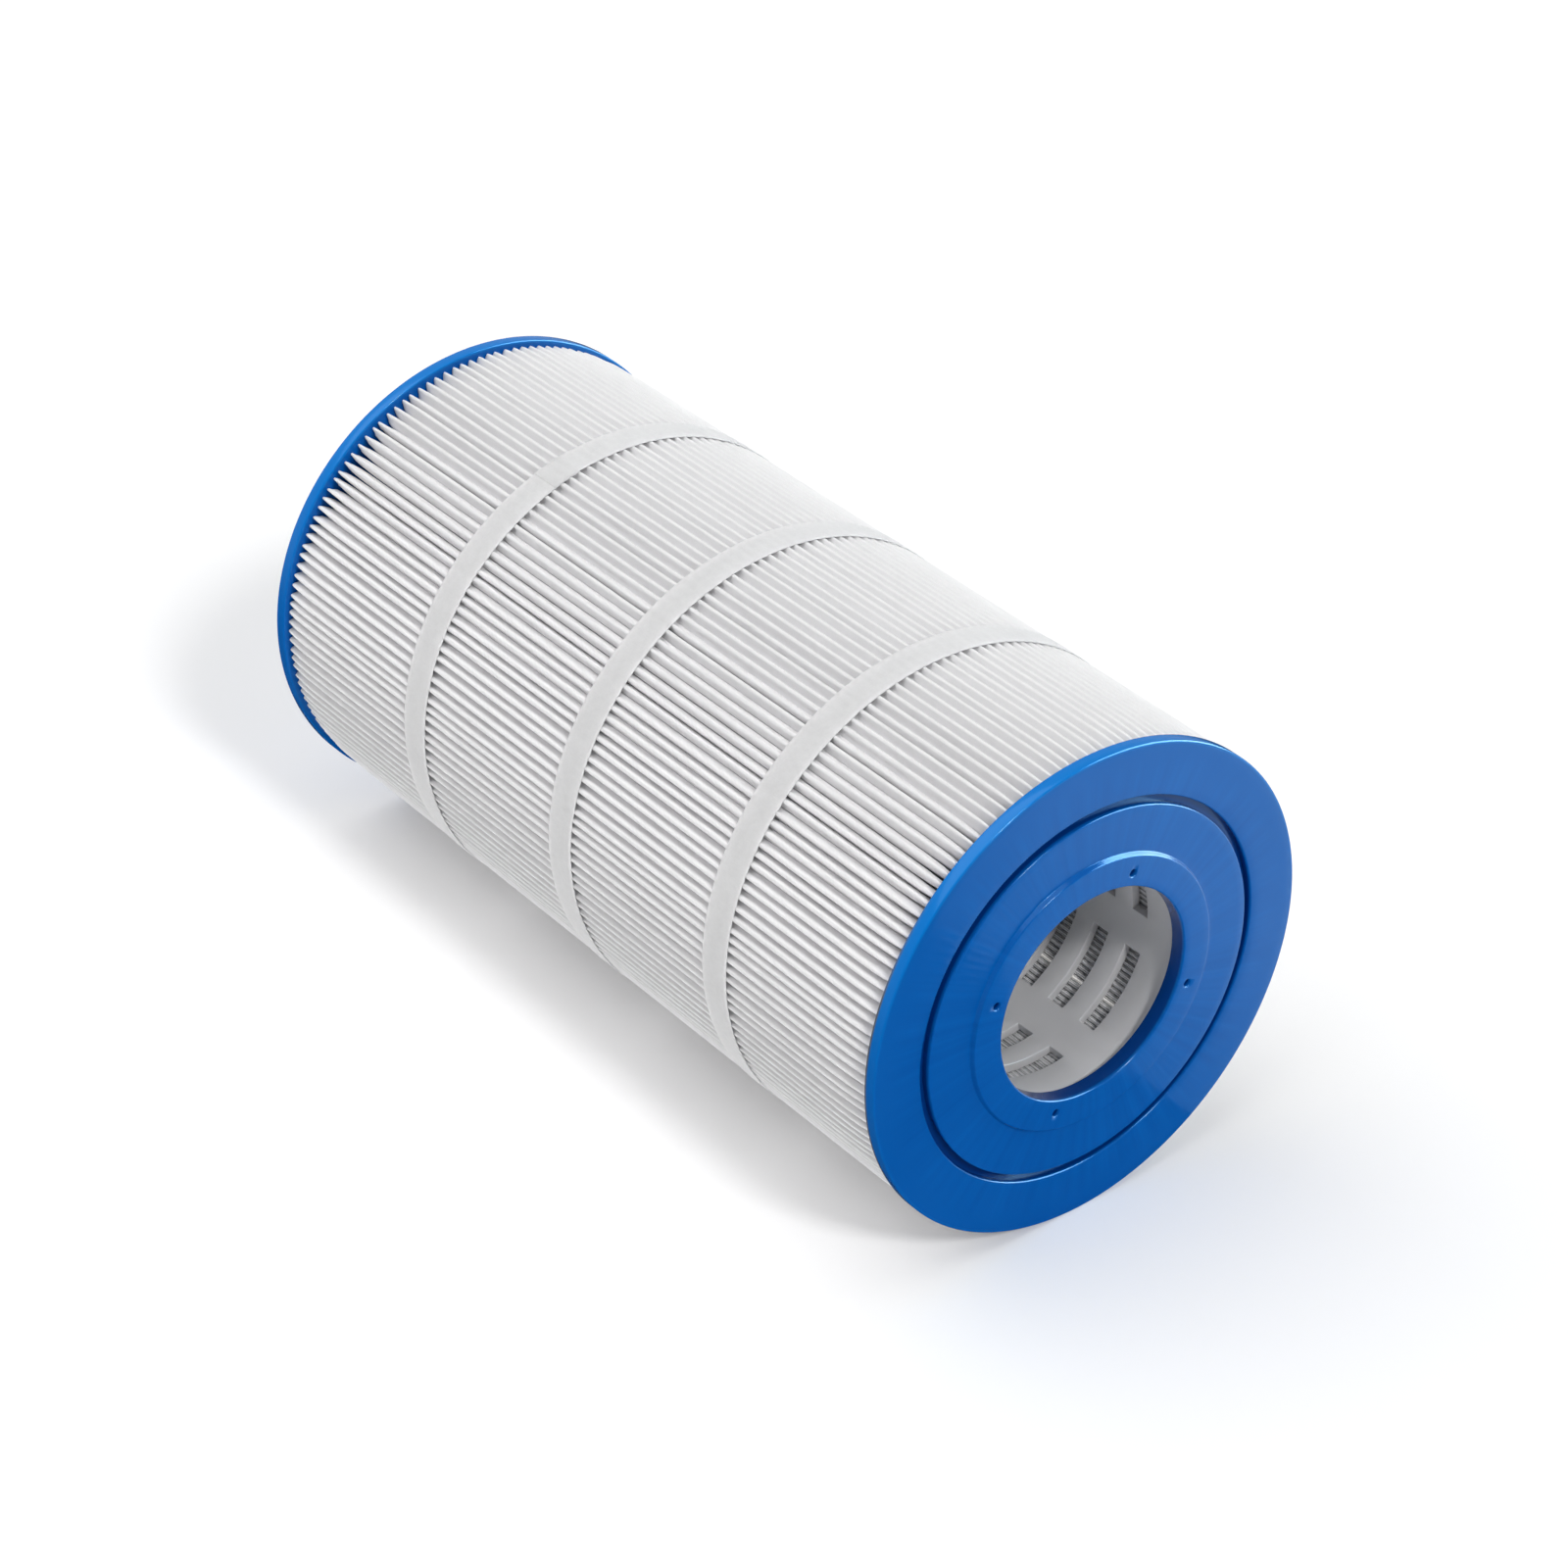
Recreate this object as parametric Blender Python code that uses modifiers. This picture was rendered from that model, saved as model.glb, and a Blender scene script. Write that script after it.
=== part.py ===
"""A pleated filter cartridge for a pool or spa filter housing, lying on its side.

Metres, +Z up. The cartridge's axis is X and the origin is at its middle, on the axis. Each
piece is modelled upright, about its own Z, and hangs on one empty that lays Z along X.
"""

import math

import bmesh
import bpy

# Overall: two cast end caps, 8 15/16 in across, on a pleated pack with a slotted core.
CAP_RADIUS = 0.1135
CAP_FACE = 0.2190  # from the middle to the flat outer ring of each cap
CLEARANCE = 0.0003  # between pieces that touch

# End cap, turned. Heights are from the flat outer ring, outwards.
RIM_THICKNESS = 0.0060
EDGE_CHAMFER = 0.0008
GROOVE_OUTER_RADIUS = 0.0893
GROOVE_INNER_RADIUS = 0.0856
GROOVE_DEPTH = 0.0027
MIDDLE_RING_HEIGHT = 0.0005
COLLAR_RADIUS = 0.0636
COLLAR_DRAFT = 0.0009
COLLAR_HEIGHT = 0.0027
BORE_RADIUS = 0.0495
CORE_SEAT_DEPTH = 0.0040  # the core's end sits this deep in the cap's inner face
PIN_HOLE_COUNT = 4
PIN_HOLE_RADIUS = 0.00175
PIN_HOLE_PITCH_RADIUS = 0.0556
FIRST_PIN_HOLE = math.radians(71)
PIN_HOLE_SIDES = 12
CAP_SIDES = 60

# Core: a slotted tube in equal moulded sections that lap into each other.
CORE_INNER_RADIUS = 0.0533
CORE_OUTER_RADIUS = 0.0575
CORE_SIDES = 36
SECTION_COUNT = 4
RINGS_PER_SECTION = 5
RING_PITCH = 0.0200
WINDOW_HEIGHT = 0.0093
WINDOWS_PER_RING = 6
WINDOW_SIDES = 4  # facets of the tube that one window spans
LAP_LENGTH = 0.0040

# Pleated media: one sheet, folded in and out between the core and the bands.
PLEAT_COUNT = 144
MEDIA_THICKNESS = 0.0006
MEDIA_OUTER_RADIUS = 0.1121
MEDIA_INNER_RADIUS = 0.0579
TIP_HALF_WIDTH = 0.0009
VALLEY_HALF_WIDTH = 0.00045
SEAM_ANGLE = math.radians(313.75)
SEAM_HALF_GAP = 0.00095
SEAM_STRIP_THICKNESS = 0.0007
SEAM_STRIP_DEPTH = 0.0120

# Bands: three tapes wound round the pleat tips.
BAND_POSITIONS = {"band_rear": -0.1060, "band_middle": 0.0052, "band_front": 0.1141}
BAND_WIDTH = 0.0157
BAND_INNER_RADIUS = 0.1125
BAND_OUTER_RADIUS = 0.1132

SMOOTH_BELOW = math.radians(30)  # edges flatter than this are shaded smooth
NO_MERGE = 0.00001


def clear_scene():
    for obj in list(bpy.data.objects):
        bpy.data.objects.remove(obj)


def new_collection(name):
    collection = bpy.data.collections.new(name)
    bpy.context.scene.collection.children.link(collection)
    return collection


def new_material(name, color, roughness):
    material = bpy.data.materials.new(name)
    material.use_nodes = True
    shader = material.node_tree.nodes["Principled BSDF"]
    shader.inputs["Base Color"].default_value = (*color, 1.0)
    shader.inputs["Roughness"].default_value = roughness
    shader.inputs["Metallic"].default_value = 0.0
    material.diffuse_color = (*color, 1.0)
    return material


def local_angle(angle):
    """The angle about a piece's own Z for one measured from world +Y towards world +Z."""
    return angle + math.radians(90)


def add_piece(name, bm, collection, parent, material=None):
    mesh = bpy.data.meshes.new(name)
    bm.to_mesh(mesh)
    bm.free()
    obj = bpy.data.objects.new(name, mesh)
    obj.parent = parent
    collection.objects.link(obj)
    if material:
        mesh.materials.append(material)
    return obj


def shade(obj):
    obj.data.shade_smooth()
    obj.data.set_sharp_from_angle(angle=SMOOTH_BELOW)


def closed_outline(points):
    """A closed ring of edges through (radius, height) points, in the XZ plane."""
    bm = bmesh.new()
    verts = [bm.verts.new((radius, 0.0, height)) for radius, height in points]
    for first, second in zip(verts, verts[1:] + verts[:1]):
        bm.edges.new((first, second))
    return bm


def turned(name, points, sides, collection, parent, material=None):
    """A ring turned about Z from an outline that runs down its outer side."""
    obj = add_piece(name, closed_outline(points), collection, parent, material)
    screw = obj.modifiers.new("Screw", "SCREW")
    screw.axis = "Z"
    screw.steps = sides
    screw.render_steps = sides
    screw.use_merge_vertices = True
    screw.merge_threshold = NO_MERGE
    screw.use_smooth_shade = True
    # half a facet round, so that the ring has a flat, not an edge, at its lowest line
    obj.rotation_euler.z = math.pi / sides
    return obj


def cut(obj, cutter):
    cutter.hide_render = True
    cutter.display_type = "WIRE"
    boolean = obj.modifiers.new("Cut " + cutter.name, "BOOLEAN")
    boolean.operation = "DIFFERENCE"
    boolean.solver = "EXACT"
    boolean.object = cutter


def cap_outline():
    """The cap's cross-section: rim, inner face, core seat, bore, collar, ring and groove."""
    inner_face = -RIM_THICKNESS
    seat_inner = CORE_INNER_RADIUS - 2 * CLEARANCE
    seat_outer = CORE_OUTER_RADIUS + CLEARANCE
    return [
        (CAP_RADIUS - EDGE_CHAMFER, 0.0),
        (CAP_RADIUS, -EDGE_CHAMFER),
        (CAP_RADIUS, inner_face),
        (seat_outer, inner_face),
        (seat_outer, inner_face + CORE_SEAT_DEPTH),
        (seat_inner, inner_face + CORE_SEAT_DEPTH),
        (seat_inner, inner_face + EDGE_CHAMFER),
        (BORE_RADIUS, inner_face + EDGE_CHAMFER),
        (BORE_RADIUS, COLLAR_HEIGHT - EDGE_CHAMFER / 2),
        (BORE_RADIUS + EDGE_CHAMFER / 2, COLLAR_HEIGHT),
        (COLLAR_RADIUS, COLLAR_HEIGHT),
        (COLLAR_RADIUS + COLLAR_DRAFT, MIDDLE_RING_HEIGHT),
        (GROOVE_INNER_RADIUS, MIDDLE_RING_HEIGHT),
        (GROOVE_INNER_RADIUS, -GROOVE_DEPTH),
        (GROOVE_OUTER_RADIUS, -GROOVE_DEPTH),
        (GROOVE_OUTER_RADIUS, 0.0),
    ]


def pin_hole_cutter(name, cutters, parent):
    """Four round pins that run from above the collar down into the core seat."""
    top = 2 * COLLAR_HEIGHT
    bottom = CORE_SEAT_DEPTH / 2 - RIM_THICKNESS
    bm = bmesh.new()
    for index in range(PIN_HOLE_COUNT):
        angle = local_angle(FIRST_PIN_HOLE + index * 2 * math.pi / PIN_HOLE_COUNT)
        pin = bmesh.ops.create_cone(
            bm,
            cap_ends=True,
            segments=PIN_HOLE_SIDES,
            radius1=PIN_HOLE_RADIUS,
            radius2=PIN_HOLE_RADIUS,
            depth=top - bottom,
        )
        bmesh.ops.translate(
            bm,
            verts=pin["verts"],
            vec=(
                PIN_HOLE_PITCH_RADIUS * math.cos(angle),
                PIN_HOLE_PITCH_RADIUS * math.sin(angle),
                (top + bottom) / 2,
            ),
        )
    return add_piece(name, bm, cutters, parent)


def end_cap(name, facing, collection, cutters, axis, material):
    """A cast cap at one end; facing is 1 for the front one and -1 for the rear one."""
    seat = bpy.data.objects.new(name + "_seat", None)
    seat.parent = axis
    seat.location.z = facing * CAP_FACE
    seat.rotation_euler.x = 0.0 if facing > 0 else math.pi
    collection.objects.link(seat)
    cap = turned(name, cap_outline(), CAP_SIDES, collection, seat, material)
    cut(cap, pin_hole_cutter(name + "_pins", cutters, seat))


def is_window(column, row):
    """True where a cell of the core's unrolled wall is open."""
    per_window = CORE_SIDES // WINDOWS_PER_RING
    return row % 2 == 1 and column % per_window < WINDOW_SIDES


def section_heights(index):
    """The levels at which one section's wall changes between solid and windows."""
    length = RINGS_PER_SECTION * RING_PITCH
    low = (index - SECTION_COUNT / 2) * length
    high = low + length
    levels = []
    for ring in range(RINGS_PER_SECTION):
        middle = low + (ring + 0.5) * RING_PITCH
        levels += [middle - WINDOW_HEIGHT / 2, middle + WINDOW_HEIGHT / 2]
    core_end = CAP_FACE - RIM_THICKNESS + CORE_SEAT_DEPTH - CLEARANCE
    bottom = -core_end if index == 0 else low
    top = core_end if index == SECTION_COUNT - 1 else high + LAP_LENGTH - CLEARANCE
    return [bottom, *levels, top]


def lap_cutter(name, inner, outer, bottom, top, cutters, parent):
    """A ring with the core's own facets, which takes one half of its wall away."""
    outline = [(outer, top), (outer, bottom), (inner, bottom), (inner, top)]
    ring = turned(name, outline, CORE_SIDES, cutters, parent)
    ring.rotation_euler.z = 0.0
    return ring


def core_section(index, collection, cutters, axis, material):
    """One moulded length of the core: a wall with its windows left out, then thickened."""
    levels = section_heights(index)
    rows = len(levels) - 1
    bm = bmesh.new()
    bmesh.ops.create_grid(bm, x_segments=CORE_SIDES, y_segments=rows, size=0.5)
    open_cells = []
    for face in bm.faces:
        middle = face.calc_center_median()
        column = int((middle.x + 0.5) * CORE_SIDES)
        row = int((middle.y + 0.5) * rows)
        if is_window(column, row):
            open_cells.append(face)
    bmesh.ops.delete(bm, geom=open_cells, context="FACES")
    for vert in bm.verts:
        angle = local_angle(2 * math.pi * (vert.co.x + 0.5))
        vert.co = (
            CORE_INNER_RADIUS * math.cos(angle),
            CORE_INNER_RADIUS * math.sin(angle),
            levels[round((vert.co.y + 0.5) * rows)],
        )
    bmesh.ops.remove_doubles(bm, verts=bm.verts, dist=NO_MERGE)
    name = f"core_section_{index + 1}"
    section = add_piece(name, bm, collection, axis, material)
    solidify = section.modifiers.new("Wall", "SOLIDIFY")
    solidify.thickness = CORE_OUTER_RADIUS - CORE_INNER_RADIUS
    solidify.offset = 1.0
    middle_radius = (CORE_INNER_RADIUS + CORE_OUTER_RADIUS) / 2
    beyond = LAP_LENGTH / 2
    if index > 0:  # socket: the outer half of the wall laps over the section below
        cut(
            section,
            lap_cutter(
                name + "_socket",
                CORE_INNER_RADIUS - beyond,
                middle_radius + CLEARANCE / 2,
                levels[0] - beyond,
                levels[0] + LAP_LENGTH,
                cutters,
                axis,
            ),
        )
    if index < SECTION_COUNT - 1:  # spigot: the inner half goes into the section above
        cut(
            section,
            lap_cutter(
                name + "_spigot",
                middle_radius - CLEARANCE / 2,
                CORE_OUTER_RADIUS + beyond,
                levels[-1] - LAP_LENGTH,
                levels[-1] + beyond,
                cutters,
                axis,
            ),
        )
    shade(section)


def polar_point(angle, radius, sideways):
    """A point at a radius on a ray from the axis, moved sideways across the ray."""
    return (
        radius * math.cos(angle) - sideways * math.sin(angle),
        radius * math.sin(angle) + sideways * math.cos(angle),
    )


def pleat_line():
    """The folded sheet's middle line, from one side of the seam right round to the other."""
    pitch = 2 * math.pi / PLEAT_COUNT
    tip_radius = MEDIA_OUTER_RADIUS - MEDIA_THICKNESS
    valley_radius = MEDIA_INNER_RADIUS + MEDIA_THICKNESS
    seam = local_angle(SEAM_ANGLE)
    line = [polar_point(seam, valley_radius, SEAM_HALF_GAP)]
    for index in range(PLEAT_COUNT):
        tip = seam + (index + 0.5) * pitch
        line.append(polar_point(tip, tip_radius, -TIP_HALF_WIDTH))
        line.append(polar_point(tip, tip_radius, TIP_HALF_WIDTH))
        if index < PLEAT_COUNT - 1:
            valley = tip + pitch / 2
            line.append(polar_point(valley, valley_radius, -VALLEY_HALF_WIDTH))
            line.append(polar_point(valley, valley_radius, VALLEY_HALF_WIDTH))
    line.append(polar_point(seam, valley_radius, -SEAM_HALF_GAP))
    return line


def pleated_media(collection, axis, material):
    """The folded line drawn out along the axis, then thickened to the sheet."""
    length = 2 * (CAP_FACE - RIM_THICKNESS - CLEARANCE)
    bm = bmesh.new()
    verts = [bm.verts.new((x, y, -length / 2)) for x, y in pleat_line()]
    edges = [bm.edges.new(pair) for pair in zip(verts, verts[1:])]
    drawn = bmesh.ops.extrude_edge_only(bm, edges=edges)
    moved = [item for item in drawn["geom"] if isinstance(item, bmesh.types.BMVert)]
    bmesh.ops.translate(bm, verts=moved, vec=(0.0, 0.0, length))
    media = add_piece("pleated_media", bm, collection, axis, material)
    solidify = media.modifiers.new("Sheet", "SOLIDIFY")
    solidify.thickness = MEDIA_THICKNESS
    solidify.offset = 0.0
    solidify.use_even_offset = True


def seam_strip(collection, axis, material):
    """The strip that bonds the two ends of the pleated sheet, all along the core."""
    length = 2 * (CAP_FACE - RIM_THICKNESS - CLEARANCE)
    angle = local_angle(SEAM_ANGLE)
    bm = bmesh.new()
    bmesh.ops.create_cube(bm, size=1.0)
    size = (SEAM_STRIP_DEPTH, SEAM_STRIP_THICKNESS, length)
    bmesh.ops.scale(bm, verts=bm.verts, vec=size)
    strip = add_piece("seam_strip", bm, collection, axis, material)
    middle = MEDIA_INNER_RADIUS + SEAM_STRIP_DEPTH / 2
    strip.location = (middle * math.cos(angle), middle * math.sin(angle), 0.0)
    strip.rotation_euler.z = angle


def band(name, position, collection, axis, material):
    """A tape round the pleat tips, its middle at the given place along the axis."""
    outline = [
        (BAND_OUTER_RADIUS, BAND_WIDTH / 2),
        (BAND_OUTER_RADIUS, -BAND_WIDTH / 2),
        (BAND_INNER_RADIUS, -BAND_WIDTH / 2),
        (BAND_INNER_RADIUS, BAND_WIDTH / 2),
    ]
    ring = turned(name, outline, CAP_SIDES, collection, axis, material)
    ring.location.z = position


def main():
    clear_scene()
    collection = new_collection("filter_cartridge")
    cutters = new_collection("cutters")
    blue = new_material("cap_polyurethane", (0.005, 0.105, 0.42), 0.35)
    white_fabric = new_material("media_polyester", (0.80, 0.80, 0.81), 0.90)
    band_fabric = new_material("band_nonwoven", (0.84, 0.84, 0.85), 0.90)
    white_plastic = new_material("core_plastic", (0.62, 0.62, 0.62), 0.50)
    glue = new_material("seam_hot_melt", (0.80, 0.79, 0.76), 0.40)

    axis = bpy.data.objects.new("cartridge_axis", None)
    axis.rotation_euler.y = math.radians(90)
    collection.objects.link(axis)

    end_cap("end_cap_front", 1, collection, cutters, axis, blue)
    end_cap("end_cap_rear", -1, collection, cutters, axis, blue)
    for index in range(SECTION_COUNT):
        core_section(index, collection, cutters, axis, white_plastic)
    pleated_media(collection, axis, white_fabric)
    seam_strip(collection, axis, glue)
    for name, position in BAND_POSITIONS.items():
        band(name, position, collection, axis, band_fabric)


main()
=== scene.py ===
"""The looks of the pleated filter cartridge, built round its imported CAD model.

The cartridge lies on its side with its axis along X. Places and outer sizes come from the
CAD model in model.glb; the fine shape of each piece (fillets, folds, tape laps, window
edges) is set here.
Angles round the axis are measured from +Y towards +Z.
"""

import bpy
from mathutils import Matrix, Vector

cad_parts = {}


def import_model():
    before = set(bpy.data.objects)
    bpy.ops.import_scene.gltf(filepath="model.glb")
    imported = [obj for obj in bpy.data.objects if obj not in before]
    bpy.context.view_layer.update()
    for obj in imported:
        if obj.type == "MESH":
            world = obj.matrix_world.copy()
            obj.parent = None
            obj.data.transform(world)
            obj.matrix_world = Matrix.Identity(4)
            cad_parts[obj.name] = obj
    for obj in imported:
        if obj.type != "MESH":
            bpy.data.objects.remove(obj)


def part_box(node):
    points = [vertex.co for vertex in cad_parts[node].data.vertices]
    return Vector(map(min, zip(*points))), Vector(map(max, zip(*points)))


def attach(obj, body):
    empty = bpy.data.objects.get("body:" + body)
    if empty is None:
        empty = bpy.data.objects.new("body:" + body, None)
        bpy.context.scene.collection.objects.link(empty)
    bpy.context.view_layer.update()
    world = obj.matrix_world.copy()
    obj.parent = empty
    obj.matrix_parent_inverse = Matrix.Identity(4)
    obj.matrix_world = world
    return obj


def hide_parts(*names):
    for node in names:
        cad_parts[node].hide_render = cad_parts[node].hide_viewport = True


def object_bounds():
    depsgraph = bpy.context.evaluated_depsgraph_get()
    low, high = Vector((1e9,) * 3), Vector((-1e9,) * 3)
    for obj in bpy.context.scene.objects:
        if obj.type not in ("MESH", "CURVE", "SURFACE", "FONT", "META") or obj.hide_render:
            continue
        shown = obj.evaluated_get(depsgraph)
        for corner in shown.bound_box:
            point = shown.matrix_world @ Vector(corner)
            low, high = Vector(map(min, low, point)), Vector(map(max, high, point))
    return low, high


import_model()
CAD_BOX = [list(corner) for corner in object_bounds()]

import math

import bpy
import numpy as np
from mathutils import Matrix, Vector

MM = 0.001
COLLAR_FACE_X = (CAD_BOX[1][0] - CAD_BOX[0][0]) / 2
CAD_CAP_SIDES = 60  # the CAD caps are rings with this many flat sides

# End caps. Heights are from the flat outer ring, outwards.
COLLAR_HEIGHT = 2.7 * MM
RIM_THICKNESS = 6.0 * MM
GROOVE_OUTER = 89.3 * MM
GROOVE_INNER = 85.6 * MM
GROOVE_DEPTH = 3.6 * MM
MIDDLE_HEIGHT = 0.5 * MM
RING_FACE_X = COLLAR_FACE_X - COLLAR_HEIGHT
COLLAR_TOP_RADIUS = 63.6 * MM
COLLAR_FOOT_RADIUS = 64.5 * MM
BORE_RADIUS = 49.5 * MM
CORE_SEAT_INNER = 52.9 * MM
CORE_SEAT_OUTER = 57.8 * MM
CORE_SEAT_DEPTH = 4.0 * MM
LIP_NOTCH = 0.35 * MM
TOOTH_HEIGHT = 0.75 * MM
RIPPLE_HEIGHT = 0.022 * MM
LIP_STEP = 0.8 * MM
PIN_HOLE_RADIUS = 1.75 * MM
PIN_HOLE_PITCH_RADIUS = 55.6 * MM
PIN_HOLE_ANGLES = [math.radians(71 + 90 * index) for index in range(4)]

# Pleats.
PLEATS = 144
PITCH = 2 * math.pi / PLEATS
SEAM_ANGLE = math.radians(313.75)
SHEET = 0.5 * MM
FOLD_RADIUS = 58.3 * MM  # middle of the sheet at the inner folds, as all the sizes below
FOLD_HALF_WIDTH = 0.85 * MM
TIP_RADIUS = 112.25 * MM
TIP_DROP_AT_CAP = 1.2 * MM
END_NOTCH_DEPTH = 1.6 * MM  # where the sheet turns in to the cap
END_NOTCH_LENGTH = 0.6 * MM
TIP_LIFT = 0.02 * MM
TIP_HALF_WIDTH = 0.74 * MM
TIP_HALF_WIDTH_AT_CAP = 0.30 * MM
TIP_JITTER = 0.075  # of the pitch between pleats
TIP_DRIFT = 0.014
WALL_DEPTH = 2.8 * MM  # below the tips, where a pleat starts to belly out
WALL_HALF_WIDTH = 1.00 * MM
BELLY_DEPTH = 4.2 * MM  # below the tips, where neighbouring pleats meet
BELLY_DEPTH_DRIFT = 0.12 * MM
SHALLOWER_UNDER_BAND = 0.35
BELLY_HALF_GAP = 0.42 * MM
BELLY_OPENING_AT_CAP = 0.9 * MM

# Core windows.
WINDOWS = 6
WINDOW_ARC = math.radians(41.3)
FIRST_WINDOW = math.radians(20)
WINDOW_HEIGHT = 9.3 * MM
RING_PITCH = 20.0 * MM
RINGS_PER_SECTION = 5
CORE_INNER = 53.3 * MM
CORE_OUTER = 57.5 * MM

# Tape.
TAPE = 0.34 * MM
TAPE_UNDERSIDE = 112.62 * MM

# Base colours, each as the darkest and lightest of its mottling.
RESIN_BLUE = ((0.0003, 0.088, 0.38), (0.0010, 0.118, 0.465))
# Painted light: a lighter, more saturated blue for the rims, strongest along the top.
LIT_RIM_BLUE = (0.0004, 0.175, 0.58)
# Painted shade for the caps' groove, pin holes and bore.
RECESS_SHADE_BLUE = (0.0002, 0.040, 0.22)
# Painted shadow: a dark grey line along the low side of the near cap's rim.
SHADOW_LINE_GREY = (0.10, 0.11, 0.12)
# Painted shade for the crease lines of the inner folds.
CREASE_SHADE_GREY = (0.16, 0.16, 0.16)
MEDIA_WHITE = ((0.85, 0.84, 0.855), (0.895, 0.885, 0.90))
TAPE_WHITE = ((0.86, 0.85, 0.865), (0.95, 0.94, 0.955))
CORE_WHITE = ((0.66, 0.655, 0.665), (0.72, 0.715, 0.72))
ADHESIVE_WHITE = ((0.88, 0.87, 0.84), (0.95, 0.94, 0.92))
FLOOR_WHITE = ((0.81, 0.81, 0.81), (0.83, 0.83, 0.83))
GLINT_COLOR = (0.55, 0.85, 1.0)

# Camera, as a distance and a shift across the view from the middle of the cartridge.
CAMERA_AZIMUTH = 52.01
CAMERA_ELEVATION = 33.81
CAMERA_DISTANCE = 1.8435
CAMERA_RIGHT = 0.0101
CAMERA_UP = -0.0114
CAMERA_LENS = 95.77

SKY_STRENGTHS = (0.52, 0.12)  # towards -X and towards +X
# Lamps: name, direction they stand in, strength, width in degrees, seen only in gloss.
LAMPS = (
    ("overhead", (-0.25, -0.30, 1.0), 1.65, 70, False),
    ("right", (0.25, 0.92, 0.25), 0.25, 14, False),
    ("upper_front", (0.72, -0.07, 0.69), 1.35, 10, False),
    ("edge_glints", (0.33, 0.84, 0.40), 15.0, 60, True),
    ("rim_glint", (0.70, 0.0, 0.71), 1.2, 14, True),
)
FLOOR_HALF_SIZE = 12.0


# ---------------------------------------------------------------- shader helpers


def start_material(name):
    """A new material with its node tree and its Principled shader."""
    material = bpy.data.materials.new(name)
    material.use_nodes = True
    return material, material.node_tree, material.node_tree.nodes["Principled BSDF"]


def add_node(tree, kind, settings=None, **inputs):
    """A node with its settings and input values; an input given a socket is linked to it."""
    node = tree.nodes.new(kind)
    for key, value in (settings or {}).items():
        setattr(node, key, value)
    for key, value in inputs.items():
        socket = node.inputs[key.replace("_", " ")]
        if isinstance(value, bpy.types.NodeSocket):
            tree.links.new(value, socket)
        else:
            socket.default_value = value
    return node


def object_position(tree):
    return add_node(tree, "ShaderNodeTexCoord").outputs["Object"]


def stretched(tree, vector, scale, turn=(0.0, 0.0, 0.0)):
    mapping = add_node(tree, "ShaderNodeMapping", Vector=vector, Scale=scale, Rotation=turn)
    return mapping.outputs["Vector"]


def noise(tree, vector, scale, detail=3.0, roughness=0.5):
    node = add_node(
        tree, "ShaderNodeTexNoise", Vector=vector, Scale=scale, Detail=detail, Roughness=roughness
    )
    return node.outputs["Fac"]


def math_node(tree, operation, first, second=0.0, third=0.0, clamp=False):
    node = tree.nodes.new("ShaderNodeMath")
    node.operation = operation
    node.use_clamp = clamp
    for socket, value in zip(node.inputs, (first, second, third)):
        if isinstance(value, bpy.types.NodeSocket):
            tree.links.new(value, socket)
        else:
            socket.default_value = value
    return node.outputs[0]


def remap(tree, value, low, high, to_low, to_high):
    node = add_node(tree, "ShaderNodeMapRange", Value=value)
    for name, number in (
        ("From Min", low),
        ("From Max", high),
        ("To Min", to_low),
        ("To Max", to_high),
    ):
        node.inputs[name].default_value = number
    return node.outputs["Result"]


def mix_colors(tree, factor, first, second):
    node = tree.nodes.new("ShaderNodeMix")
    node.data_type = "RGBA"
    for socket, value in zip((node.inputs[0], node.inputs[6], node.inputs[7]), (factor, first, second)):
        if isinstance(value, bpy.types.NodeSocket):
            tree.links.new(value, socket)
        elif isinstance(value, tuple):
            socket.default_value = (*value, 1.0)
        else:
            socket.default_value = value
    return node.outputs[2]


def bump(tree, height, distance, strength, normal=None):
    node = add_node(tree, "ShaderNodeBump", Height=height, Distance=distance, Strength=strength)
    if normal is not None:
        tree.links.new(normal, node.inputs["Normal"])
    return node.outputs["Normal"]


def radius_and_spokes(tree, spokes_per_turn):
    """Distance from the X axis, and a noise position that changes only with the angle."""
    parts = add_node(tree, "ShaderNodeSeparateXYZ", Vector=object_position(tree))
    across = add_node(tree, "ShaderNodeCombineXYZ", Y=parts.outputs["Y"], Z=parts.outputs["Z"])
    flat = across.outputs["Vector"]
    length = add_node(tree, "ShaderNodeVectorMath", {"operation": "LENGTH"})
    tree.links.new(flat, length.inputs[0])
    unit = add_node(tree, "ShaderNodeVectorMath", {"operation": "NORMALIZE"})
    tree.links.new(flat, unit.inputs[0])
    ring = add_node(tree, "ShaderNodeVectorMath", {"operation": "SCALE"})
    tree.links.new(unit.outputs["Vector"], ring.inputs[0])
    ring.inputs["Scale"].default_value = spokes_per_turn / (2 * math.pi)
    return length.outputs["Value"], ring.outputs["Vector"]


# ---------------------------------------------------------------- materials


def recess_shade(tree, position, radius):
    """1 in the caps' groove, pin holes and bore, where shade is painted in a darker blue; else 0."""
    along = add_node(tree, "ShaderNodeSeparateXYZ", Vector=position).outputs["X"]
    distance = math_node(tree, "ABSOLUTE", along)
    below_ring = remap(tree, distance, RING_FACE_X - 1.6 * MM, RING_FACE_X - 0.7 * MM, 1.0, 0.0)
    within_groove = remap(tree, radius, 90.2 * MM, 90.8 * MM, 1.0, 0.0)
    below_collar = remap(
        tree, distance, COLLAR_FACE_X - 1.8 * MM, COLLAR_FACE_X - 0.9 * MM, 1.0, 0.0
    )
    within_collar = remap(tree, radius, 59.0 * MM, 60.0 * MM, 1.0, 0.0)
    groove = math_node(tree, "MULTIPLY", below_ring, within_groove)
    bore = math_node(tree, "MULTIPLY", below_collar, within_collar)
    return math_node(tree, "MAXIMUM", groove, bore)


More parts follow.
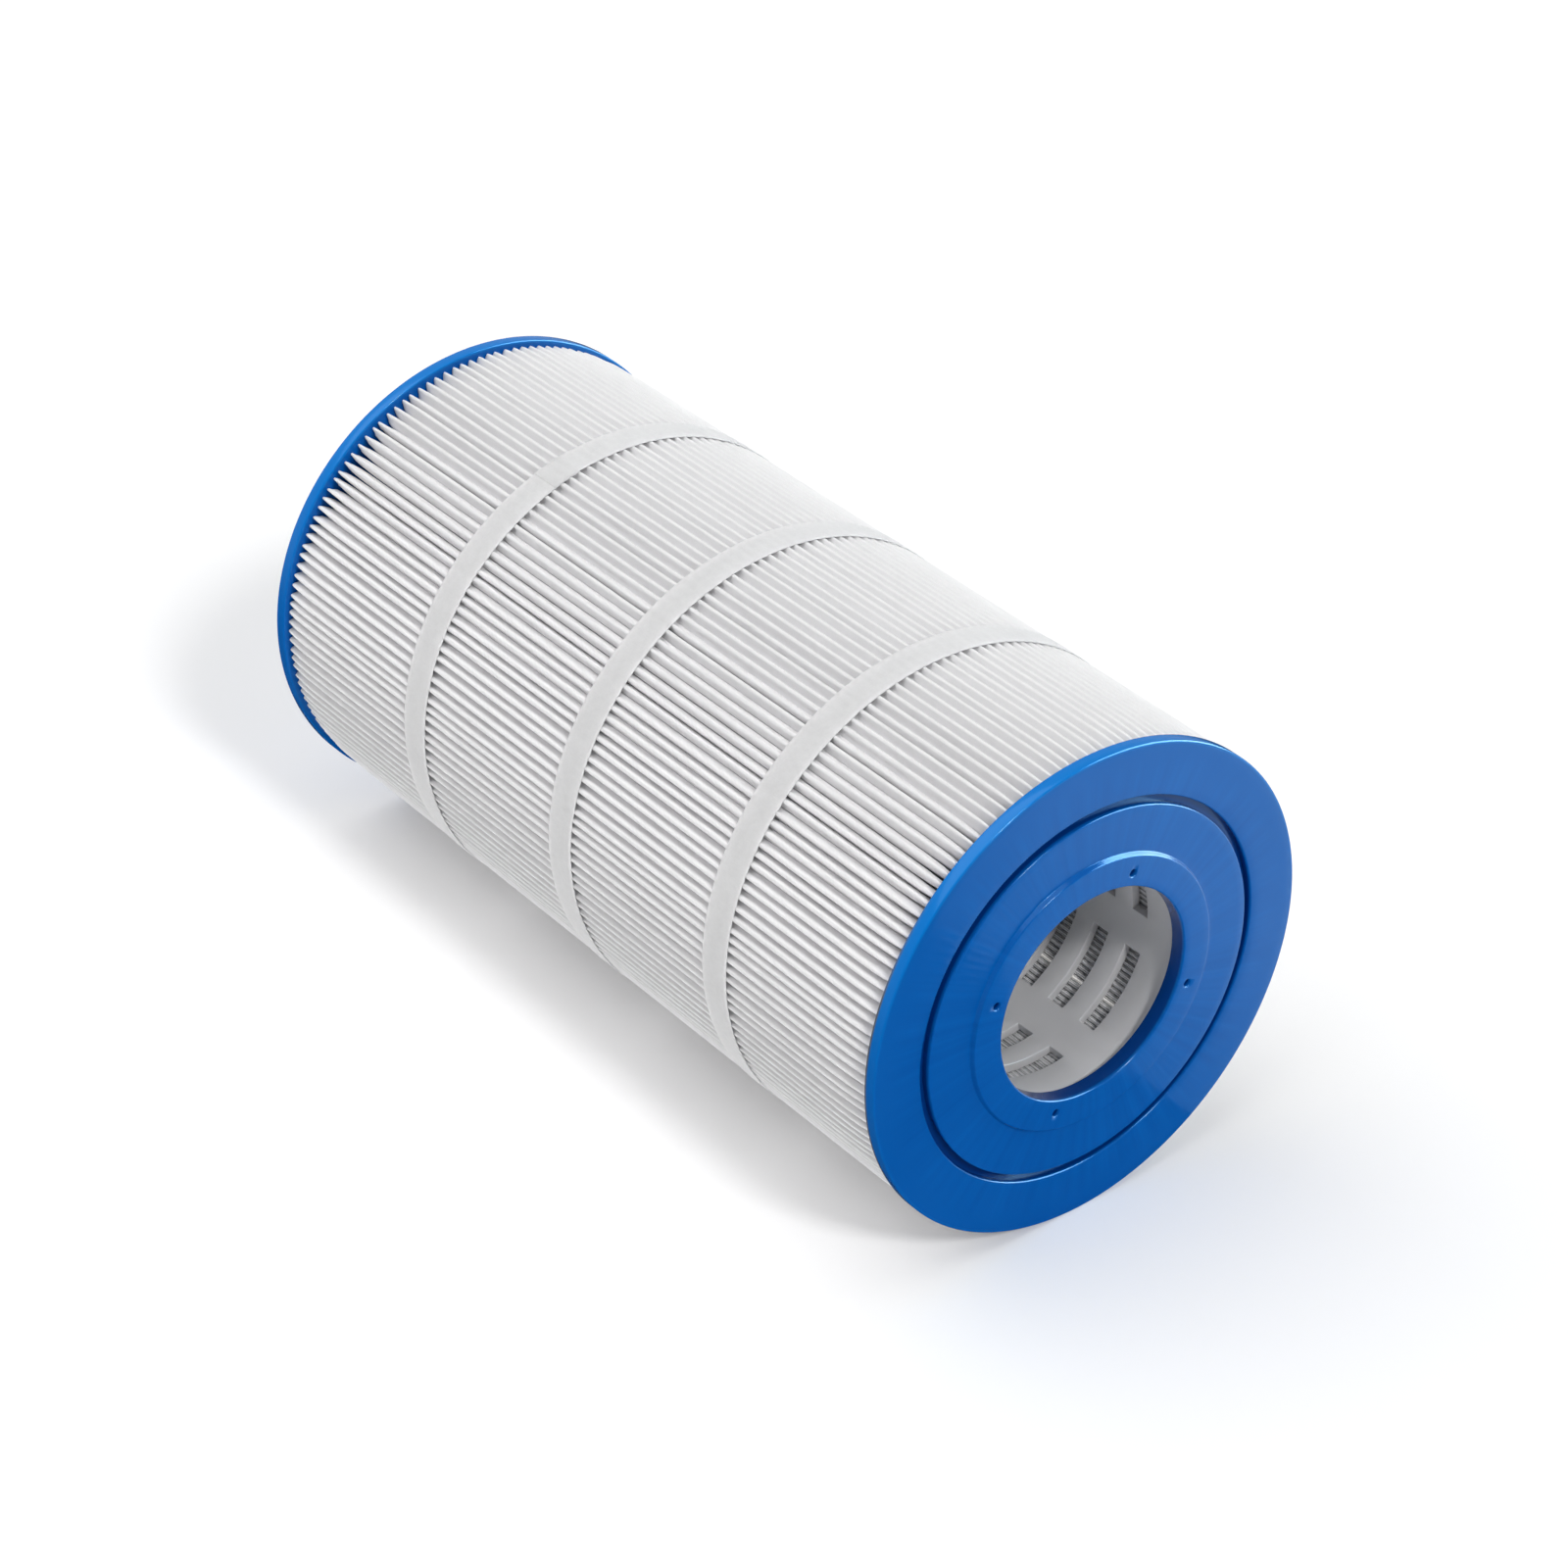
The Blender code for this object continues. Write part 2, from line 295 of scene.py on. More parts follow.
def painted_shadow_line(tree, parts):
    """1 along the low side of the near cap's rim, next to the pleats, where a shadow line is painted;
    else 0.
    """
    along = parts.outputs["X"]
    rim_back = RING_FACE_X - RIM_THICKNESS
    on_near_cap = math_node(tree, "GREATER_THAN", along, 0.0)
    near_media = remap(tree, along, rim_back + 0.8 * MM, rim_back + 1.6 * MM, 1.0, 0.0)
    near_media = math_node(tree, "MULTIPLY", near_media, on_near_cap)
    low_side = remap(tree, parts.outputs["Z"], 40 * MM, 85 * MM, 1.0, 0.0)
    return math_node(tree, "MULTIPLY", near_media, low_side)


def polyurethane():
    """Blue cast resin: semi-gloss, faintly cloudy, with the pleats showing as radial streaks."""
    material, tree, shader = start_material("blue_polyurethane")
    position = object_position(tree)
    radius, ring = radius_and_spokes(tree, PLEATS)
    streaks = noise(tree, ring, 0.8, 2.0, 0.7)
    on_face = remap(tree, radius, 98 * MM, 109 * MM, 1.0, 0.0)
    streak = math_node(tree, "MULTIPLY", math_node(tree, "SUBTRACT", streaks, 0.5), on_face)
    clouds = noise(tree, position, 14.0, 3.0)
    tint = math_node(tree, "MULTIPLY_ADD", streak, 1.3, clouds, clamp=True)
    face = mix_colors(tree, tint, *RESIN_BLUE)
    parts = add_node(tree, "ShaderNodeSeparateXYZ", Vector=position)
    # Painted light: the rim's blue is lighter and more saturated, most at the top and least at the
    # bottom.
    height = remap(tree, parts.outputs["Z"], 0.0, 90 * MM, 0.25, 1.0)
    rim = remap(tree, radius, 112.0 * MM, 113.2 * MM, 0.0, 1.0)
    color = mix_colors(tree, math_node(tree, "MULTIPLY", rim, height), face, LIT_RIM_BLUE)
    # Painted shade: a darker blue in the groove, the pin holes and the bore.
    color = mix_colors(tree, recess_shade(tree, position, radius), color, RECESS_SHADE_BLUE)
    # A painted shadow line along the low side of the near cap's rim, next to the pleats.
    shadow_amount = math_node(tree, "MULTIPLY", painted_shadow_line(tree, parts), rim)
    color = mix_colors(tree, shadow_amount, color, SHADOW_LINE_GREY)
    tree.links.new(color, shader.inputs["Base Color"])
    tree.links.new(remap(tree, clouds, 0.3, 0.7, 0.15, 0.19), shader.inputs["Roughness"])
    peel = noise(tree, position, 420.0, 3.0)
    shallow = bump(tree, peel, 0.03 * MM, 0.3)
    tree.links.new(bump(tree, streak, 0.06 * MM, 0.5, shallow), shader.inputs["Normal"])
    shader.inputs["IOR"].default_value = 1.5
    shader.inputs["Specular IOR Level"].default_value = 0.4
    shader.inputs["Specular Tint"].default_value = (0.28, 0.65, 1.0, 1.0)
    shader.inputs["Coat Weight"].default_value = 0.15
    shader.inputs["Coat Roughness"].default_value = 0.04
    return material


def fibres(tree, position, fine):
    """Height of a felt of thin fibres that cross each other, about 1 / fine metres apart."""
    layers = [
        noise(tree, stretched(tree, position, (0.16, 1.0, 1.0), (0.0, 0.2, 0.1)), fine, 3.0),
        noise(tree, stretched(tree, position, (1.0, 0.2, 0.25), (0.5, 0.0, 0.6)), fine, 3.0),
        noise(tree, stretched(tree, position, (0.35, 1.0, 0.35), (0.9, 0.7, -0.6)), fine, 3.0),
    ]
    first = math_node(tree, "MAXIMUM", layers[0], layers[1])
    return math_node(tree, "MAXIMUM", first, layers[2])


def crease_shade(tree, position):
    """1 along the fine crease lines of the sheet's inner folds, two to a pleat, where shade is painted;
    else 0.
    """
    parts = add_node(tree, "ShaderNodeSeparateXYZ", Vector=position)
    angle = math_node(tree, "ARCTAN2", parts.outputs["Z"], parts.outputs["Y"])
    wave = math_node(tree, "SINE", math_node(tree, "MULTIPLY", angle, 3.0 * PLEATS))
    across = add_node(tree, "ShaderNodeCombineXYZ", Y=parts.outputs["Y"], Z=parts.outputs["Z"])
    radius = add_node(tree, "ShaderNodeVectorMath", {"operation": "LENGTH"})
    tree.links.new(across.outputs["Vector"], radius.inputs[0])
    inner = remap(tree, radius.outputs["Value"], 61 * MM, 65 * MM, 1.0, 0.0)
    depth = math_node(tree, "MULTIPLY", noise(tree, across.outputs["Vector"], 260.0, 2.0), 1.4)
    lines = math_node(tree, "MULTIPLY", remap(tree, wave, -0.2, 0.8, 0.15, 1.0), depth)
    return math_node(tree, "MULTIPLY", lines, inner, clamp=True)


def spunbond(name, whites, fine, relief, folded=False):
    """White nonwoven polyester: matte, with fibres, small thick spots and a soft sheen."""
    material, tree, shader = start_material(name)
    position = object_position(tree)
    felt = fibres(tree, position, fine)
    spots = noise(tree, position, fine / 5, 4.0, 0.7)
    patches = noise(tree, position, 40.0, 3.0)
    body = math_node(tree, "MULTIPLY_ADD", spots, 0.5, math_node(tree, "MULTIPLY", felt, 0.5))
    shade = math_node(tree, "MULTIPLY_ADD", patches, 0.25, body)
    color = mix_colors(tree, remap(tree, shade, 0.45, 0.85, 0.0, 1.0), *whites)
    # Painted shade: grey lines along the crease lines of the inner folds.
    if folded:
        color = mix_colors(tree, crease_shade(tree, position), color, CREASE_SHADE_GREY)
    tree.links.new(color, shader.inputs["Base Color"])
    tree.links.new(remap(tree, felt, 0.4, 0.8, 0.95, 0.75), shader.inputs["Roughness"])
    coarse = bump(tree, spots, relief, 0.5)
    tree.links.new(bump(tree, felt, relief, 0.8, coarse), shader.inputs["Normal"])
    shader.inputs["Subsurface Weight"].default_value = 1.0
    shader.inputs["Subsurface Radius"].default_value = (1.0, 1.0, 1.0)
    shader.inputs["Subsurface Scale"].default_value = 2.0 * MM
    shader.inputs["Sheen Weight"].default_value = 0.15
    shader.inputs["Sheen Roughness"].default_value = 0.5
    shader.inputs["Specular IOR Level"].default_value = 0.12
    return material


def moulded_plastic():
    """White moulded plastic of the core: satin, with faint flow marks."""
    material, tree, shader = start_material("white_moulded_plastic")
    position = object_position(tree)
    flow = noise(tree, stretched(tree, position, (0.3, 1.0, 1.0)), 70.0, 4.0, 0.6)
    color = mix_colors(tree, flow, *CORE_WHITE)
    tree.links.new(color, shader.inputs["Base Color"])
    tree.links.new(remap(tree, flow, 0.3, 0.7, 0.38, 0.52), shader.inputs["Roughness"])
    grain = noise(tree, position, 1500.0, 2.0)
    tree.links.new(bump(tree, grain, 0.02 * MM, 0.4), shader.inputs["Normal"])
    return material


def hot_melt():
    """Off-white hot-melt adhesive: smooth, with slow lumps and a faint painted glow."""
    material, tree, shader = start_material("seam_hot_melt")
    position = object_position(tree)
    lumps = noise(tree, position, 160.0, 3.0)
    color = mix_colors(tree, lumps, *ADHESIVE_WHITE)
    tree.links.new(color, shader.inputs["Base Color"])
    # Painted light: the bead glows faintly, as if lit from within.
    shader.inputs["Emission Color"].default_value = (1.0, 0.98, 0.94, 1.0)
    shader.inputs["Emission Strength"].default_value = 0.25
    tree.links.new(remap(tree, lumps, 0.3, 0.7, 0.30, 0.45), shader.inputs["Roughness"])
    tree.links.new(bump(tree, lumps, 0.3 * MM, 0.5), shader.inputs["Normal"])
    return material


def studio_floor():
    """Pale matte floor, a little brighter than its lamps make it."""
    material, tree, shader = start_material("studio_floor")
    mottle = noise(tree, object_position(tree), 2.0, 2.0)
    color = mix_colors(tree, mottle, *FLOOR_WHITE)
    tree.links.new(color, shader.inputs["Base Color"])
    shader.inputs["Roughness"].default_value = 0.9
    shader.inputs["Specular IOR Level"].default_value = 0.1
    shader.inputs["Emission Color"].default_value = (1.0, 1.0, 1.0, 1.0)
    shader.inputs["Emission Strength"].default_value = 0.13
    return material


# ---------------------------------------------------------------- mesh helpers


def around(angle, radius):
    """Y and Z of points at these angles and distances from the X axis."""
    return radius * np.cos(angle), radius * np.sin(angle)


def sheet_object(name, points, material, closed_rows=False, closed_columns=False):
    """A smooth quad mesh through a grid of points, shape (rows, columns, 3)."""
    rows, columns = points.shape[:2]
    index = np.arange(rows * columns).reshape(rows, columns)
    if closed_rows:
        index = np.vstack([index, index[:1]])
    if closed_columns:
        index = np.hstack([index, index[:, :1]])
    corners = (index[:-1, :-1], index[1:, :-1], index[1:, 1:], index[:-1, 1:])
    faces = np.stack([corner.ravel() for corner in corners], axis=1)
    mesh = bpy.data.meshes.new(name)
    mesh.from_pydata(points.reshape(-1, 3).tolist(), [], faces.tolist())
    mesh.shade_smooth()
    mesh.materials.append(material)
    obj = bpy.data.objects.new(name, mesh)
    bpy.context.scene.collection.objects.link(obj)
    return obj


def apply_modifiers(obj):
    """Bakes the modifiers into the mesh, so that every later step sees the final shape."""
    graph = bpy.context.evaluated_depsgraph_get()
    final = bpy.data.meshes.new_from_object(obj.evaluated_get(graph))
    obj.modifiers.clear()
    obj.data = final


def thicken(obj, thickness):
    """Gives a sheet its thickness, half of it to each side."""
    solidify = obj.modifiers.new("Thickness", "SOLIDIFY")
    solidify.thickness = thickness
    solidify.offset = 0.0
    solidify.use_even_offset = True
    apply_modifiers(obj)


def fillet(corner, before, after, radius, steps=4):
    """Points of an arc that rounds a corner of an outline between its two neighbours."""
    corner, before, after = (np.array(point) for point in (corner, before, after))
    first = (before - corner) / np.linalg.norm(before - corner)
    second = (after - corner) / np.linalg.norm(after - corner)
    half = math.acos(float(np.clip(first @ second, -1, 1))) / 2
    run = radius / math.tan(half)
    middle = corner + (first + second) / np.linalg.norm(first + second) * radius / math.sin(half)
    start, end = corner + first * run - middle, corner + second * run - middle
    turn = math.acos(float(np.clip(start @ end / radius**2, -1, 1)))
    share = np.linspace(0, 1, steps + 1)[:, None]
    return middle + (start * np.sin((1 - share) * turn) + end * np.sin(share * turn)) / math.sin(turn)


def rounded(outline):
    """A closed outline of (radius, height, fillet radius) corners, as points with arcs."""
    points = []
    for index, (radius, height, rounding) in enumerate(outline):
        before, after = outline[index - 1][:2], outline[(index + 1) % len(outline)][:2]
        if rounding:
            points.extend(fillet((radius, height), before, after, rounding))
        else:
            points.append(np.array((radius, height)))
    return np.array(points)


def bell(distance, width):
    """1 at no distance, falling smoothly to 0 a few widths away."""
    return np.exp(-((distance / width) ** 2))


# ---------------------------------------------------------------- end caps


def split_long_runs(points, longest):
    """The closed outline again, with points added where two are further apart than that."""
    result = []
    for first, second in zip(points, np.roll(points, -1, axis=0)):
        pieces = max(1, math.ceil(np.linalg.norm(second - first) / longest))
        result.extend(first + (second - first) * step / pieces for step in range(pieces))
    return np.array(result)


def cap_profile(cap_radius):
    """The cap's closed outline in radius and height, its corners rounded."""
    inner_face = -RIM_THICKNESS
    seat_floor = inner_face + CORE_SEAT_DEPTH
    lip = inner_face + LIP_STEP
    outline = [
        (cap_radius, 0.0, 0.7 * MM),
        (cap_radius, inner_face, 0.5 * MM),
        (CORE_SEAT_OUTER, inner_face, 0.0),
        (CORE_SEAT_OUTER, seat_floor, 0.0),
        (CORE_SEAT_INNER, seat_floor, 0.0),
        (CORE_SEAT_INNER, lip, 0.3 * MM),
        (BORE_RADIUS, lip, 0.5 * MM),
        (BORE_RADIUS, COLLAR_HEIGHT, 0.7 * MM),
        (COLLAR_TOP_RADIUS, COLLAR_HEIGHT, 0.7 * MM),
        (COLLAR_FOOT_RADIUS, MIDDLE_HEIGHT, 0.4 * MM),
        (GROOVE_INNER, MIDDLE_HEIGHT, 0.7 * MM),
        (GROOVE_INNER, -GROOVE_DEPTH, 0.0),
        (GROOVE_OUTER, -GROOVE_DEPTH, 0.0),
        (GROOVE_OUTER, 0.0, 0.8 * MM),
    ]
    return split_long_runs(rounded(outline), 4 * MM)


def cap_grid(cap_radius, random):
    """Radius and height of every point of a cap, with what shows of the pleats under it."""
    steps_per_pleat = 6
    profile = cap_profile(cap_radius)
    radius, height = profile[:, :1], profile[:, 1:]
    angle = np.arange(PLEATS * steps_per_pleat) * PITCH / steps_per_pleat
    wave = np.cos(angle * PLEATS)
    strength = np.repeat(random.uniform(0.15, 1.0, PLEATS), steps_per_pleat)
    strength = strength * (0.55 + 0.45 * np.cos(2 * angle + 0.6))
    middle_ring = bell(radius - 76 * MM, 7 * MM)
    outer_ring = bell(radius - 96 * MM, 6 * MM)
    is_front = (height > -0.1 * MM) & (radius > COLLAR_FOOT_RADIUS)
    ripple = RIPPLE_HEIGHT * (middle_ring + outer_ring) * is_front * wave * strength
    in_groove = (np.abs(radius - (GROOVE_INNER + GROOVE_OUTER) / 2) < 1.9 * MM) & (
        height < -0.6 * GROOVE_DEPTH
    )
    tooth_height = TOOTH_HEIGHT * random.uniform(0.6, 1.0, PLEATS).repeat(steps_per_pleat)
    teeth = in_groove * (height > -RIM_THICKNESS * 0.6) * tooth_height * (wave > -0.2)
    on_lip = (np.abs(radius - GROOVE_OUTER - 0.2 * MM) < 0.7 * MM) & (height > -1.2 * MM)
    notch = LIP_NOTCH * on_lip * (np.arange(len(angle)) % 2) * (0.4 + 0.6 * strength)
    return angle, radius + 0 * angle, height + ripple + teeth - notch


def pin_drill(face_x, facing):
    """Four drills for the small holes through the collar, each with a flared mouth."""
    outline = ((-1.7, 1.0), (2.3, 1.0), (2.7, 1.22), (6.0, 1.22))
    turns = np.linspace(0, 2 * math.pi, 24, endpoint=False)
    drills = []
    for centre in PIN_HOLE_ANGLES:
        rows = []
        for height, width in outline:
            x = np.full_like(turns, face_x + facing * height * MM)
            across = PIN_HOLE_PITCH_RADIUS + width * PIN_HOLE_RADIUS * np.cos(turns)
            along = width * PIN_HOLE_RADIUS * np.sin(turns)
            y = across * math.cos(centre) - along * math.sin(centre)
            z = across * math.sin(centre) + along * math.cos(centre)
            rows.append(np.stack([x, y, z], axis=1))
        drills.append(np.array(rows))
    return drills


def drill_object(drills, material, flip):
    """The drills as one mesh of closed, separate bodies."""
    verts, faces = [], []
    for drill in drills:
        rows, columns = drill.shape[:2]
        start = len(verts)
        verts.extend(drill.reshape(-1, 3).tolist())
        for row in range(rows - 1):
            for column in range(columns):
                after = (column + 1) % columns
                low, high = start + row * columns, start + (row + 1) * columns
                faces.append((low + column, low + after, high + after, high + column))
        faces.append([start + column for column in reversed(range(columns))])
        faces.append([start + (rows - 1) * columns + column for column in range(columns)])
    mesh = bpy.data.meshes.new("pin_drills")
    mesh.from_pydata(verts, [], faces)
    if flip:
        mesh.flip_normals()
    mesh.materials.append(material)
    obj = bpy.data.objects.new("pin_drills", mesh)
    bpy.context.scene.collection.objects.link(obj)
    return obj


def end_cap(name, node, facing, material, random):
    """One cap, its collar towards +X if facing is 1 and towards -X if it is -1."""
    low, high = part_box(node)
    cap_radius = (high.z - low.z) / 2 / math.cos(math.pi / CAD_CAP_SIDES)
    outermost = high.x if facing > 0 else low.x
    face_x = outermost - facing * COLLAR_HEIGHT
    angle, radius, height = cap_grid(cap_radius, random)
    y, z = around(angle, radius)
    points = np.stack([face_x + facing * height, y, z], axis=2)
    if facing < 0:
        points = points[::-1]
    cap = sheet_object(name, points, material, closed_rows=True, closed_columns=True)
    drills = drill_object(pin_drill(face_x, facing), material, flip=facing < 0)
    cut = cap.modifiers.new("Pin holes", "BOOLEAN")
    cut.operation = "DIFFERENCE"
    cut.object = drills
    apply_modifiers(cap)
    bpy.data.objects.remove(drills)
    cap.data.set_sharp_from_angle(angle=math.radians(50))
    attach(cap, "root")
    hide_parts(node)


# ---------------------------------------------------------------- pleated media


def smooth_curves(random, count, knots, x, low, high):
    """For each pleat, a slow random curve along the axis, read at the stations x."""
    places = np.linspace(low, high, knots)
    values = random.normal(0.0, 1.0, (count, knots))
    return np.stack([np.interp(x, places, row) for row in values])


def stations(half_length, bands):
    """Places along the axis where the sheet gets a row of points: close where it bends."""
    from_cap = (0.0, 1.0, 2.5, 5.0, 9.0, 14.0, 21.0, 32.0)
    from_band = (-6.0, 1.5)
    places = []
    for side in (-1, 1):
        places += [side * (half_length - step * MM) for step in from_cap]
    for low, high in bands:
        places += [low + step * MM for step in from_band]
        places += [high - step * MM for step in from_band]
    return np.array(sorted(places))


def pleat_points(x, half_length, bands, random):
    """The folded sheet's middle surface as a grid: one row for each station along the axis."""
    to_cap = half_length - np.abs(x)
    grip_length = random.uniform(6, 11, (PLEATS, 1)) * MM
    grip = np.exp(-((to_cap[None, :] / grip_length) ** 1.3))
    under_band = np.zeros_like(x)
    for low, high in bands:
        outside = np.maximum(np.maximum(low - x, x - high), 0)
        under_band = np.maximum(under_band, bell(outside, 5 * MM))
    free = (1 - grip) * (1 - under_band)

    jitter = np.clip(random.normal(0, TIP_JITTER, (PLEATS, 1)), -2 * TIP_JITTER, 2 * TIP_JITTER)
    drift = TIP_DRIFT * smooth_curves(random, PLEATS, 9, x, -half_length, half_length)
    tip = SEAM_ANGLE + (np.arange(PLEATS)[:, None] + 0.5 + jitter + drift * free) * PITCH
    lift = TIP_LIFT * smooth_curves(random, PLEATS, 7, x, -half_length, half_length)
    tip_radius = TIP_RADIUS - TIP_DROP_AT_CAP * grip + (lift - TIP_LIFT) * free
    tip_radius = tip_radius - END_NOTCH_DEPTH * bell(to_cap, END_NOTCH_LENGTH)
    swell = 1 + 0.18 * random.uniform(-1, 1, (PLEATS, 1))
    half = TIP_HALF_WIDTH * swell * (1 - grip) + TIP_HALF_WIDTH_AT_CAP * grip
    depth = BELLY_DEPTH * (1 + 0.08 * random.uniform(-1, 1, (PLEATS, 1)))
    depth = depth + BELLY_DEPTH_DRIFT * smooth_curves(
        random, PLEATS, 6, x, -half_length, half_length
    )
    open_half = BELLY_OPENING_AT_CAP * grip + BELLY_HALF_GAP
    squeeze = 1 - SHALLOWER_UNDER_BAND * under_band
    depth = depth * squeeze
    wall_radius = tip_radius - WALL_DEPTH * squeeze
    wall_half = WALL_HALF_WIDTH * (1 - grip) + TIP_HALF_WIDTH * grip

    ahead = np.roll(tip, -1, axis=0)
    ahead[-1] += 2 * math.pi
    meeting = (tip + ahead) / 2
    columns = []

    def add(angle, radius, sideways):
        y = radius * np.cos(angle) - sideways * np.sin(angle)
        z = radius * np.sin(angle) + sideways * np.cos(angle)
        columns.append((y, z))

    def before(values):
        return np.roll(values, 1, axis=0)

    centre = SEAM_ANGLE + (np.arange(PLEATS)[:, None] + 0.5) * PITCH + 0 * tip
    root_radius = FOLD_RADIUS + FOLD_HALF_WIDTH
    root_half = root_radius * PITCH / 2 - FOLD_HALF_WIDTH
    add(centre, root_radius, -root_half)
    add(before(meeting), before(tip_radius - depth), before(open_half))
    add(tip, wall_radius, -wall_half)
    for turn in (-80, -40, 0, 40, 80):
        sine, cosine = math.sin(math.radians(turn)), math.cos(math.radians(turn))
        add(tip, tip_radius - half * (1 - cosine), half * sine)
    add(tip, wall_radius, wall_half)
    add(meeting, tip_radius - depth, -open_half)
    add(centre, root_radius, root_half)
    add(centre + PITCH / 2, np.full_like(tip, FOLD_RADIUS), np.zeros_like(tip))

    y = np.stack([column[0] for column in columns], axis=1)
    z = np.stack([column[1] for column in columns], axis=1)
    y = y.reshape(-1, len(x))[:-1]
    z = z.reshape(-1, len(x))[:-1]
    grid = np.stack([x[None, :] + 0 * y, y, z], axis=2)
    return np.transpose(grid, (1, 0, 2)), tip


def pleated_media(material, bands, random):
    """The folded sheet. Returns the stations along the axis and each pleat tip's angle there."""
    low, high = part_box("pleated_media")
    half_length = (high.x - low.x) / 2
    x = stations(half_length, bands)
    points, tips = pleat_points(x, half_length, bands, random)
    media = sheet_object("pleated_sheet", points, material)
    thicken(media, SHEET)
    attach(media, "root")
    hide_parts("pleated_media")
    return x, tips


def seam(material, random):
    """The glued seam: a thin bead that stands a little proud of the inner folds."""
    low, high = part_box("seam_strip")
    rows = 60
    length = np.linspace(low.x, high.x, rows)
    ripple = 0.06 * MM * random.normal(0, 1, (rows, 1))
    inner, outer = CORE_OUTER + 0.12 * MM, CORE_OUTER + 12 * MM
    half = 0.28 * MM
    outline = [(outer, half), (inner + half, half)]
    for turn in (60, 30, 0, -30, -60):
        angle = math.radians(turn)
        outline.append((inner + half - half * math.cos(angle), half * math.sin(angle)))
    outline += [(inner + half, -half), (outer, -half)]
    radius = np.array([point[0] for point in outline])[None, :] + 0 * ripple
    sideways = np.array([point[1] for point in outline])[None, :] + ripple
    y = radius * math.cos(SEAM_ANGLE) - sideways * math.sin(SEAM_ANGLE)
    z = radius * math.sin(SEAM_ANGLE) + sideways * math.cos(SEAM_ANGLE)
    points = np.stack([length[:, None] + 0 * radius, y, z], axis=2)
    bead = sheet_object("seam_bead", points, material, closed_columns=True)
    last = (rows - 1) * len(outline)
    ends = [list(range(len(outline)))[::-1], list(range(last, last + len(outline)))]
    close_ends(bead, ends)
    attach(bead, "root")
    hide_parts("seam_strip")


def close_ends(obj, loops):
    """Adds one face over each loop of point numbers."""
    mesh = obj.data
    points = [vert.co[:] for vert in mesh.vertices]
    faces = [list(face.vertices) for face in mesh.polygons] + loops
    material = mesh.materials[0]
    closed = bpy.data.meshes.new(mesh.name)
    closed.from_pydata(points, [], faces)
    closed.shade_smooth()
    closed.set_sharp_from_angle(angle=math.radians(60))
    closed.materials.append(material)
    obj.data = closed


# ---------------------------------------------------------------- bands


def band(name, node, lap_angle, x, tips, material, random):
    """A tape wound once round the pleat tips, its last centimetre lapped over its start."""
    low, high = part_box(node)
    middle, half_width = (low.x + high.x) / 2, (high.x - low.x) / 2
    tip_here = np.array([np.interp(middle, x, row) for row in tips])
    per_pleat = 4
    lap_pleats = 3
    order = np.argsort((tip_here - lap_angle) % (2 * math.pi))
    run = (tip_here[order] - lap_angle) % (2 * math.pi)
    run = np.concatenate([run, run[: lap_pleats + 1] + 2 * math.pi])
    pieces = np.arange(0, len(run) - 1, 1 / per_pleat)
    angle = lap_angle + np.interp(pieces, np.arange(len(run)), run)
    between = 0.5 - 0.5 * np.cos(2 * math.pi * pieces)
    lapped = np.clip((pieces - (PLEATS - 2)) / 2, 0, 1)
    base = TAPE_UNDERSIDE + TAPE / 2
    radius = base + (TAPE + 0.03 * MM) * lapped * lapped * (3 - 2 * lapped)
    across = np.linspace(-1, 1, 9)
    drift = np.interp(pieces, np.linspace(0, len(run), 14), random.normal(0, 0.12 * MM, 14))
    fray = random.normal(0, 0.05 * MM, (2, len(pieces)))
    sag = 0.16 * MM * between[:, None] * (1 - 0.1 * np.abs(across))[None, :]
    edge_drop = 0.08 * MM * np.abs(across[None, :]) ** 6
    r = radius[:, None] - sag - edge_drop
    start, end = middle - half_width + fray[0], middle + half_width + fray[1]
    place = start[:, None] + (end - start)[:, None] * (across[None, :] + 1) / 2 + drift[:, None]
    y, z = around(angle[:, None], r)
    points = np.stack([place, y, z], axis=2)
    tape = sheet_object(name, points, material)
    thicken(tape, TAPE)
    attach(tape, "root")
    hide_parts(node)


# ---------------------------------------------------------------- core


def core_columns():
    """Angles of the core's columns of points, and which gaps between them are windows."""
    in_window, in_rib = 10, 5
    rib_arc = 2 * math.pi / WINDOWS - WINDOW_ARC
    angles, opens = [], []
    for window in range(WINDOWS):
        start = FIRST_WINDOW + window * 2 * math.pi / WINDOWS - WINDOW_ARC / 2
        angles += [start + WINDOW_ARC * step / in_window for step in range(in_window)]
        angles += [start + WINDOW_ARC + rib_arc * step / in_rib for step in range(in_rib)]
        opens += [True] * in_window + [False] * in_rib
    return np.array(angles), np.array(opens)


